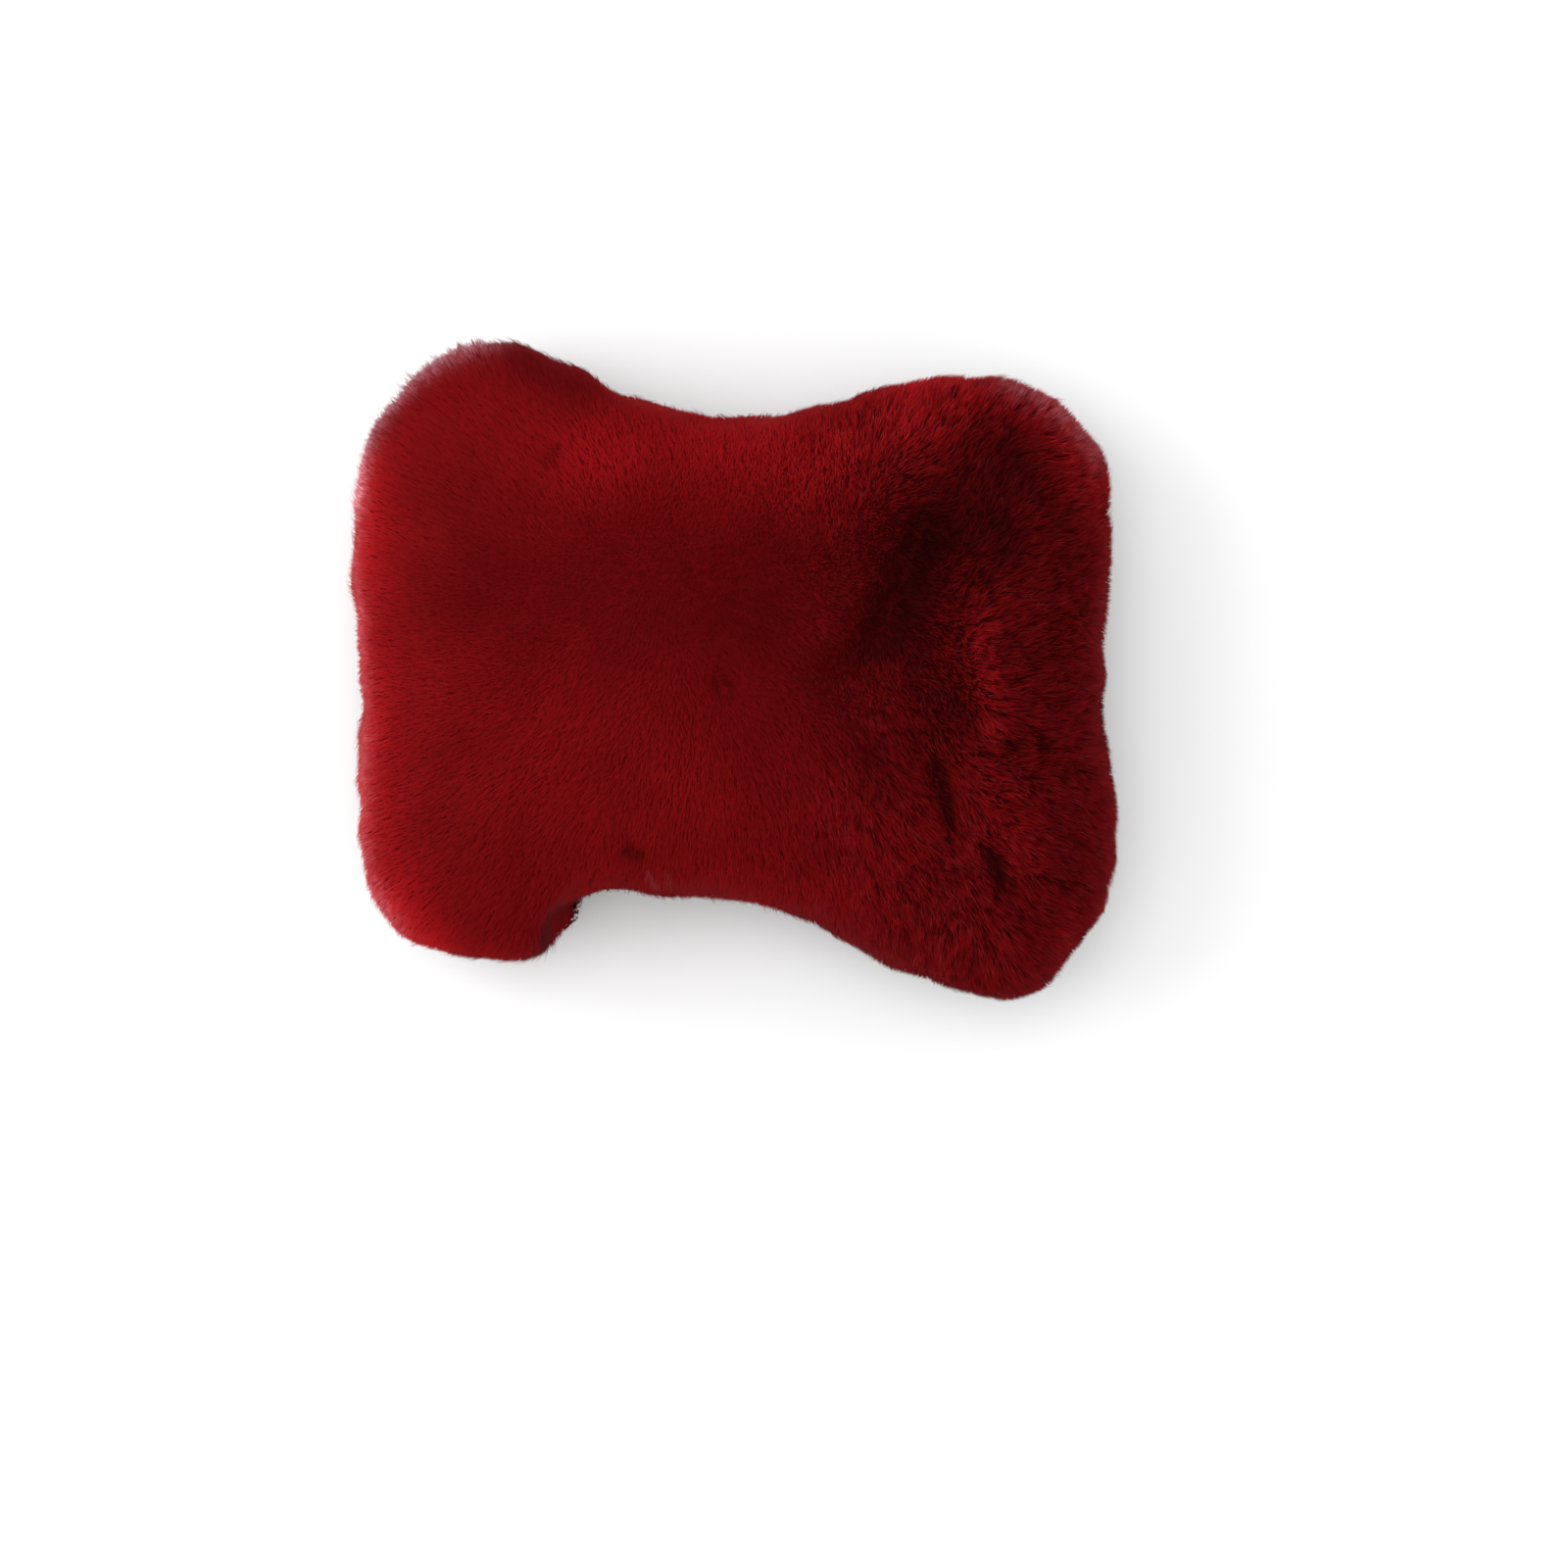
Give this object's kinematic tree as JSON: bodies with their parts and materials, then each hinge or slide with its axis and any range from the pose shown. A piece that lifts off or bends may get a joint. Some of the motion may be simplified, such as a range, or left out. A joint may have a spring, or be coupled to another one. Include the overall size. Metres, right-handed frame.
{
  "type": "car neck pillow",
  "caption": "Bone-shaped neck pillow for a car seat, deep red long-pile fur over the front and sides, cloth back with an elastic strap that holds it to the head restraint.",
  "frame": {"origin": "centre of the overall box, on the surface that the back lies on", "axes": "+X along the pillow to its right end as seen from the front, +Y up the front face, +Z out of the fur"},
  "size_m": [0.301, 0.261, 0.0953],
  "materials": {
    "fur": "long dense dyed pile",
    "back_cloth": "plain woven cloth",
    "elastic_webbing": "ribbed elastic",
    "stuffing": "fibre wadding"
  },
  "bodies": {
    "root": {"front_fur_panel": "fur", "back_panel": "back_cloth", "elastic_strap": "elastic_webbing", "filling": "stuffing"}
  },
  "joints": []
}
